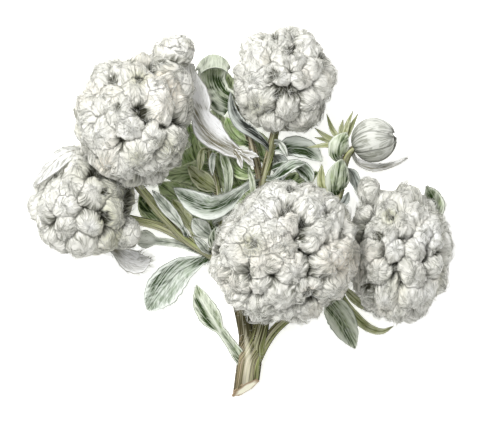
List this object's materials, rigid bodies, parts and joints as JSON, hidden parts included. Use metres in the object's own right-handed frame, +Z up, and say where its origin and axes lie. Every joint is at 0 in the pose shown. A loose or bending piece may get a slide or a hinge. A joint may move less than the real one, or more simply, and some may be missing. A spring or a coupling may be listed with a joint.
{
  "type": "cut lasiopogon muscoides sprig",
  "caption": "Cut sprig with a branching stem, dense white woolly flower heads, a round bud and felted grey-green leaves, lying on its side on a surface.",
  "frame": {"origin": "on the surface that the sprig lies on, in the middle of its length and width", "axes": "+X to the right of the sprig seen from above, +Y from the cut end towards the top head, +Z up from the surface"},
  "size_m": [0.0679, 0.0596, 0.0268],
  "materials": {
    "wool": "matt white wool of fine hairs",
    "woolly_bract": "matt white wool over a thin bract",
    "stem": "ribbed olive and brown stem with fine wool",
    "silver_leaf": "silver-green felt",
    "sage_leaf": "sage-green felt with pale margins",
    "dark_leaf": "dark green, thinly felted",
    "yellow_green_leaf": "yellow-green, thinly felted",
    "pale_felt": "pale grey-green felt",
    "grey_felt": "grey felt",
    "bud_petal": "satin white overlapping petals with fine grey veins"
  },
  "bodies": {
    "root": {"branching_stem": "stem", "woolly_head_front": "wool", "woolly_head_upper_left": "wool", "woolly_head_left": "wool", "woolly_head_top": "wool", "woolly_head_right": "wool", "lower_left_leaf": "sage_leaf", "broad_left_leaf": "silver_leaf", "pale_lobed_leaf": "yellow_green_leaf", "left_tuft_leaf": "pale_felt", "left_head_bract": "woolly_bract", "stalk_side_leaf": "pale_felt", "olive_strap_leaf": "yellow_green_leaf", "back_leaf_junction": "dark_leaf", "back_leaf_stalks": "dark_leaf", "junction_leaf_pale": "pale_felt", "junction_leaf_edged": "pale_felt", "junction_leaf_dark": "sage_leaf", "silver_wavy_leaf": "silver_leaf", "narrow_crescent_leaf": "pale_felt", "tall_light_leaf": "sage_leaf", "hanging_leaf_one": "yellow_green_leaf", "hanging_leaf_two": "pale_felt", "broad_olive_leaf": "yellow_green_leaf", "ragged_dark_leaf": "dark_leaf", "back_leaf_left": "dark_leaf", "back_leaf_upper": "dark_leaf", "back_leaf_low": "dark_leaf", "back_leaf_middle": "dark_leaf", "junction_leaf_back": "sage_leaf", "dark_middle_leaf": "dark_leaf", "pale_strap_leaf": "sage_leaf", "white_folded_bract": "woolly_bract", "green_upper_leaf": "dark_leaf", "curled_top_leaf": "sage_leaf", "top_back_leaf": "dark_leaf", "back_leaf_stems": "dark_leaf", "long_head_bract": "grey_felt", "short_head_bract": "pale_felt", "shaded_bract": "grey_felt", "back_leaf_right": "dark_leaf", "rolled_right_leaf": "dark_leaf", "folded_right_leaf": "silver_leaf", "drooping_blue_leaf": "silver_leaf", "slim_green_leaf": "yellow_green_leaf", "bud_scale_lower": "sage_leaf", "bud_scale_upper": "sage_leaf", "bud_strap_leaf": "grey_felt", "bud_stub_leaf": "grey_felt", "bud_curled_bract": "pale_felt", "right_head_leaf": "sage_leaf", "lower_right_leaf": "sage_leaf", "crescent_bract": "yellow_green_leaf", "olive_bract": "yellow_green_leaf", "bud_sepals": "yellow_green_leaf", "flower_bud": "bud_petal"}
  },
  "joints": []
}
